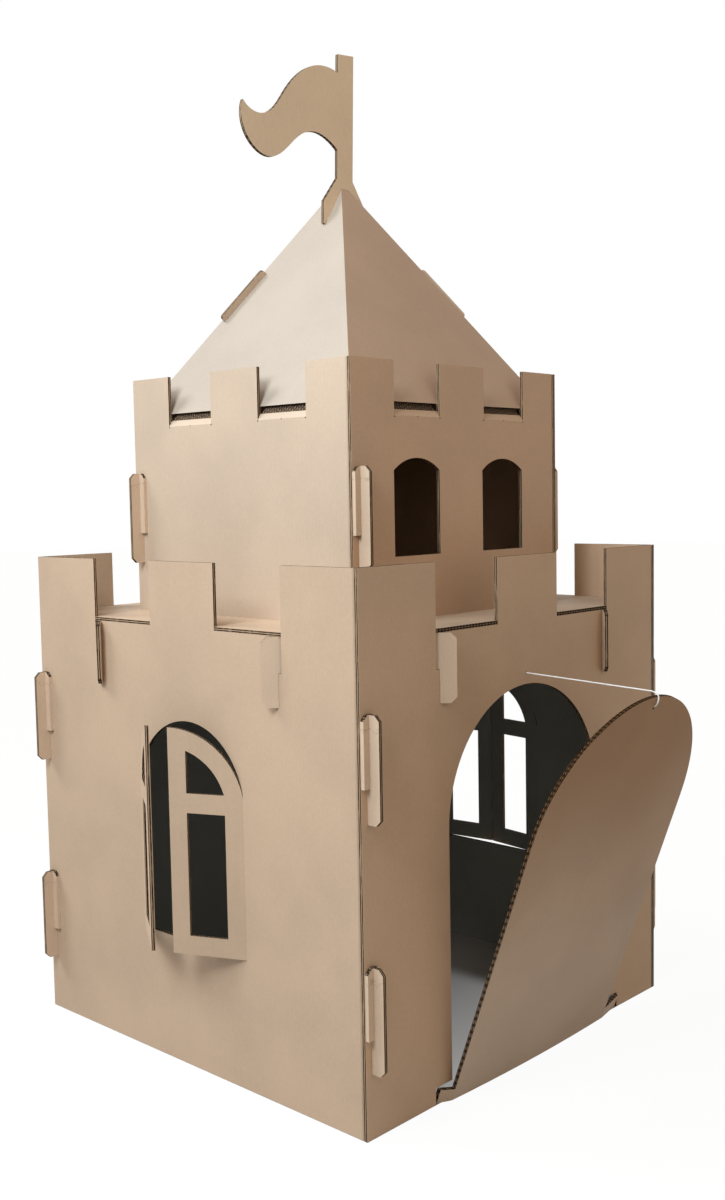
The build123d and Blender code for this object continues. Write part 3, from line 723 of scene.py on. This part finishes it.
bridge_card = sheet_material(
    "card of drawbridge", BRIDGE_KRAFT, bridge_normal, bridge_point(0, 0), (1, 0, 0.9), 0.85,
    painted_bounce_light_low, True,
)
give("drawbridge", bridge_card)
flag_low, flag_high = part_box("flag")
flag_card = sheet_material("card of flag", PALE_KRAFT, (0, 1, 0), flag_low, (1, 0, 0))
give("flag", flag_card)
for side, (axis, sign) in SIDE_SIGN.items():
    low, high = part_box(f"brace_{side}")
    across = high - low
    turn_sign = 1 if side in ("front", "back") else -1
    run = Vector((across.x, -turn_sign * across.y, 0)).normalized()
    normal = Vector((-run.y, run.x, 0))
    middle = (low + high) / 2
    face = middle + normal * CARD / 2
    brace_card = sheet_material(f"card of {side} brace", LIGHT_KRAFT, normal, face, run)
    give(f"brace_{side}", brace_card)


# %% Clips and roof
def clip_material(side, half, node_name):
    """Card of the clips on one side: paper, with a cut edge along the leaf's outside."""
    axis, sign = SIDE_SIGN[side]
    own = 1 if axis == "y" else 0
    other = 1 - own
    centre = AXIS_Y if axis == "y" else AXIS_X
    low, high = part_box(node_name)
    leaf = (low[other] + high[other]) / 2

    def outward(tree, where):
        """Distance out from the wall's face."""
        from_axis = tree.math("MULTIPLY", tree.math("SUBTRACT", where[own], centre), sign)
        return tree.math("SUBTRACT", from_axis, half)

    def depth_of(tree, where, facing):
        return tree.math("ADD", where[other], 10 * CARD + CARD / 2 - leaf)

    def across_of(tree, where):
        return tree.math("ADD", outward(tree, where), where[2])

    def liner_mask(tree, where, facing):
        flat = tree.math("LESS_THAN", tree.math("ABSOLUTE", facing[2]), 0.30)
        outer = tree.math("GREATER_THAN", outward(tree, where), CARD + 0.001)
        rim = tree.math("GREATER_THAN", tree.math("ABSOLUTE", facing[own]), 0.60)
        not_cut = tree.math("SUBTRACT", 1.0, tree.math("MULTIPLY", outer, rim))
        return tree.math("MULTIPLY", flat, not_cut)

    def open_of(tree, where, facing):
        return tree.ramp(tree.math("ABSOLUTE", facing[2]), 0.25, 0.6)

    def crease_shade(tree, coordinates, where, facing, color):
        """A faint line of painted shade under the top, in the crease where the clip was pushed
        through.
        """
        rough = tree.wander(coordinates, 90.0, 3.0, 0.030)
        at = tree.math("SUBTRACT", tree.math("ADD", where[2], rough), high.z - CRUSH_DROP)
        line = tree.ramp(tree.math("ABSOLUTE", at), 0.0, 0.0020, 0.28, 0.0)
        return tree.mix(line, color, (0.10, 0.060, 0.035, 1))

    return card_material(
        f"card of {node_name}", LIGHT_KRAFT, depth_of, across_of, liner_mask, open_of, crease_shade
    )


CRUSH_DROP = 0.022
for side in SIDE_SIGN:
    for place_name, half in (("lower", HALF), ("upper", UPPER_HALF)):
        for name in nodes:
            if name.startswith(f"clip_{place_name}_{side}"):
                give(name, clip_material(side, half, name))


def roof_material(name, tone):
    """Card of the roof: paper on the slopes, cut edges below and at the ridges."""
    def depth_of(tree, where, facing):
        return where[2]

    def across_of(tree, where):
        return tree.math("ADD", where[0], where[1])

    def liner_mask(tree, where, facing):
        up = tree.math("ABSOLUTE", facing[2])
        from_slope = tree.math("ABSOLUTE", tree.math("SUBTRACT", up, 0.54))
        return tree.math("LESS_THAN", from_slope, 0.10)

    def open_of(tree, where, facing):
        return tree.math("ABSOLUTE", facing[2])

    def painted_roof_light(tree, coordinates, where, facing, color):
        """Painted light and shade: a whiter sheen on the left slope, painted shade on the front
        slope, and painted shade on the cut foot.
        """
        for way, tint in ((facing[0], ROOF_LEFT_SHEEN), (facing[1], ROOF_FRONT_SHADE)):
            color = tree.multiply(tree.ramp(way, -0.5, -0.2, 1.0, 0.0), color, tint)
        # Painted shade: the cut faces at the foot, below the upper walls' tops, are darkened.
        cut = tree.math("SUBTRACT", 1.0, liner_mask(tree, where, facing))
        foot = tree.math("LESS_THAN", where[2], upper_high.z)
        return tree.multiply(tree.math("MULTIPLY", cut, foot), color, ROOF_FOOT_SHADE)

    return card_material(name, tone, depth_of, across_of, liner_mask, open_of, painted_roof_light)


roof_card = roof_material("card of roof", KRAFT)
for name in ("roof_left_front", "roof_right_back"):
    give(name, roof_card)
SLOPE = radians(57.3)
RIDGE_RISE = 1.5577
for name, sign in (("roof_clip_left", -1), ("roof_clip_right", 1)):
    out = Vector((sign * sin(SLOPE), 0, cos(SLOPE)))
    low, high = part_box(name)
    flute = Vector((-sign, sign, RIDGE_RISE)).normalized()
    side_way = out.cross(flute).normalized()
    middle = (low + high) / 2
    clip_face = middle + side_way * CARD / 2
    give(name, sheet_material(f"card of {name}", KRAFT, side_way, clip_face, out))

# %% [markdown]
# ## String finish
# Cotton string is off-white and finely twisted, so its material has slanted bands.

# %% String material
string_material = bpy.data.materials.new("cotton string")
string_material.use_nodes = True
tree = Tree(string_material.node_tree)
shader = string_material.node_tree.nodes["Principled BSDF"]
coordinates = string_material.node_tree.nodes.new("ShaderNodeTexCoord").outputs["Object"]
x, y, z = tree.split(coordinates)
slant = tree.math("ADD", y, tree.math("MULTIPLY", z, 0.8))
twist = tree.math("SINE", tree.math("MULTIPLY", slant, 2600.0))
fuzz = tree.noise(coordinates, 1400.0, 2.0, 0.6)
band = tree.math("ADD", tree.math("MULTIPLY", twist, 0.35), fuzz)
cotton = tree.mix(tree.ramp(band, 0.2, 0.9), (0.86, 0.85, 0.82, 1), (0.97, 0.96, 0.94, 1))
tree.link(cotton, shader.inputs["Base Color"])
bump = string_material.node_tree.nodes.new("ShaderNodeBump")
bump.inputs["Strength"].default_value = 0.6
bump.inputs["Distance"].default_value = 0.0004
tree.link(band, bump.inputs["Height"])
tree.link(bump.outputs[0], shader.inputs["Normal"])
shader.inputs["Roughness"].default_value = 0.9
for piece in string_parts:
    piece.data.materials.clear()
    piece.data.materials.append(string_material)
print("materials done")

# %% Update the view layer
bpy.context.view_layer.update()
